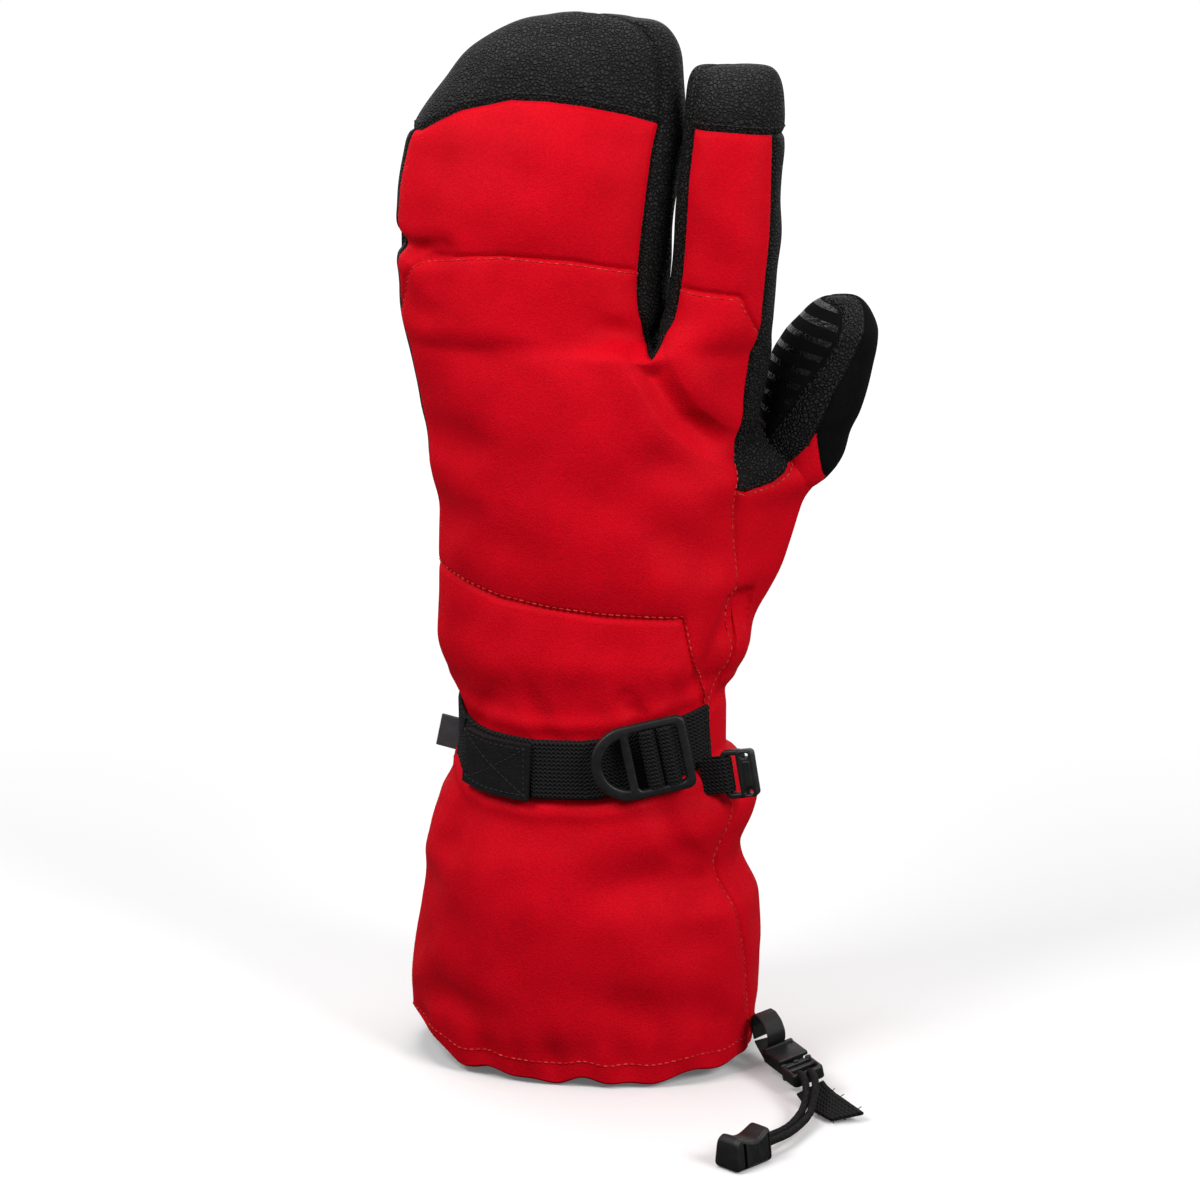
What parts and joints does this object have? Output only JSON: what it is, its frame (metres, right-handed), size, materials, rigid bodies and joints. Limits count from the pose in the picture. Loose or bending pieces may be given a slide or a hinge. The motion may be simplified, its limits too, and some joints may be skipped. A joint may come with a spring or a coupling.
{
  "type": "ski mitten",
  "caption": "Insulated three-compartment ski mitten with a long gauntlet, separate index and thumb stalls, a buckled wrist strap, a leash clip and a drawcord hem.",
  "frame": {"origin": "middle of the hem, on the surface that the mitten stands on", "axes": "+Z from the hem to the finger tips, -Y out of the back of the hand, +X to the thumb side"},
  "size_m": [0.1656, 0.1476, 0.35],
  "materials": {
    "softshell": "matt woven softshell with a fine grain",
    "leather": "pebbled synthetic leather",
    "membrane": "thin white film",
    "batting": "lofted batting",
    "fleece": "brushed fleece",
    "elastic_band": "covered elastic",
    "elastic_cord": "braided elastic cord",
    "webbing": "ribbed webbing",
    "buckle_plastic": "moulded acetal",
    "label": "plain woven label",
    "grip_print": "glossy printed grip",
    "thumb_knit": "matt black stretch fabric"
  },
  "bodies": {
    "hand": {"gauntlet_hem": "softshell", "hem_drawcord": "elastic_cord", "gauntlet_back_panel": "softshell", "gauntlet_palm_panel": "softshell", "gauntlet_insulation": "batting", "gauntlet_lining": "fleece", "wrist_elastic": "elastic_band", "hand_back_panel": "softshell", "hand_palm_panel": "leather", "thumb_side_panel": "softshell", "thumb_crotch_panel": "leather", "palm_reinforcement": "leather", "hand_membrane": "membrane", "hand_insulation": "batting", "hand_lining": "fleece", "finger_fork": "leather", "mitt_knuckle_zone": "softshell", "index_knuckle_zone": "softshell", "thumb_base_zone": "leather", "wrist_strap": "webbing", "leash_tab": "webbing", "leash_frame": "buckle_plastic", "side_label": "label", "hem_loop": "webbing", "adjuster_housing": "buckle_plastic"},
    "fingers": {"mitt_back_panel": "softshell", "mitt_gusset": "leather", "mitt_palm_panel": "leather", "mitt_cap": "leather", "mitt_membrane": "membrane", "mitt_insulation": "batting", "mitt_lining": "fleece"},
    "index": {"index_back_panel": "softshell", "index_gusset": "leather", "index_palm_panel": "leather", "index_cap": "leather", "index_membrane": "membrane", "index_insulation": "batting", "index_lining": "fleece"},
    "thumb": {"thumb_grip_panel": "leather", "thumb_grip_bars": "grip_print", "thumb_rim": "leather", "thumb_back_panel": "thumb_knit", "thumb_membrane": "membrane", "thumb_insulation": "batting", "thumb_lining": "fleece"},
    "buckle": {"ladder_lock": "buckle_plastic", "strap_wrap": "webbing"},
    "strap_end": {"strap_tail": "webbing", "strap_end_tab": "webbing"},
    "leash_hook": {"leash_hook": "buckle_plastic"},
    "adjuster": {"adjuster_insert": "buckle_plastic", "hem_webbing_tail": "webbing", "drawcord_runs": "elastic_cord", "cord_pull": "buckle_plastic"}
  },
  "joints": [
    {"name": "fingers_flex", "type": "hinge", "parent": "hand", "child": "fingers", "pos_m": [-0.0191, 0, 0.2555], "axis": [-1, 0, 0], "range_deg": [0, 45], "stiffness_Nm_per_rad": 0.25, "deforming": ["mitt_knuckle_zone"]},
    {"name": "index_flex", "type": "hinge", "parent": "hand", "child": "index", "pos_m": [0.0452, -0.004, 0.2555], "axis": [-1, 0, 0], "range_deg": [0, 60], "stiffness_Nm_per_rad": 0.12, "deforming": ["index_knuckle_zone"]},
    {"name": "thumb_swing", "type": "hinge", "parent": "hand", "child": "thumb", "pos_m": [0.0695, 0.0242, 0.212], "axis": [-0.309, 0.9511, 0], "range_deg": [0, 30], "stiffness_Nm_per_rad": 0.12, "deforming": ["thumb_base_zone"]},
    {"name": "buckle_tilt", "type": "hinge", "parent": "hand", "child": "buckle", "pos_m": [0.03514, -0.03297, 0.11393], "axis": [-0.1988, -0.0608, 0.9781], "range_deg": [0, 20], "stiffness_Nm_per_rad": 0.02},
    {"name": "strap_cinch", "type": "hinge", "parent": "hand", "child": "strap_end", "pos_m": [0.0032, 0.035, 0.108], "axis": [0, 0, -1], "range_deg": [0, 8]},
    {"name": "leash_hook_swivel", "type": "hinge", "parent": "hand", "child": "leash_hook", "pos_m": [0.05819, -0.02179, 0.10228], "axis": [-0.172, 0.0242, 0.9848], "range_deg": [-50, 50]},
    {"name": "adjuster_slide", "type": "slide", "parent": "hand", "child": "adjuster", "axis": [0.5736, -0.8192, 0], "range_m": [0, 0.009]}
  ]
}
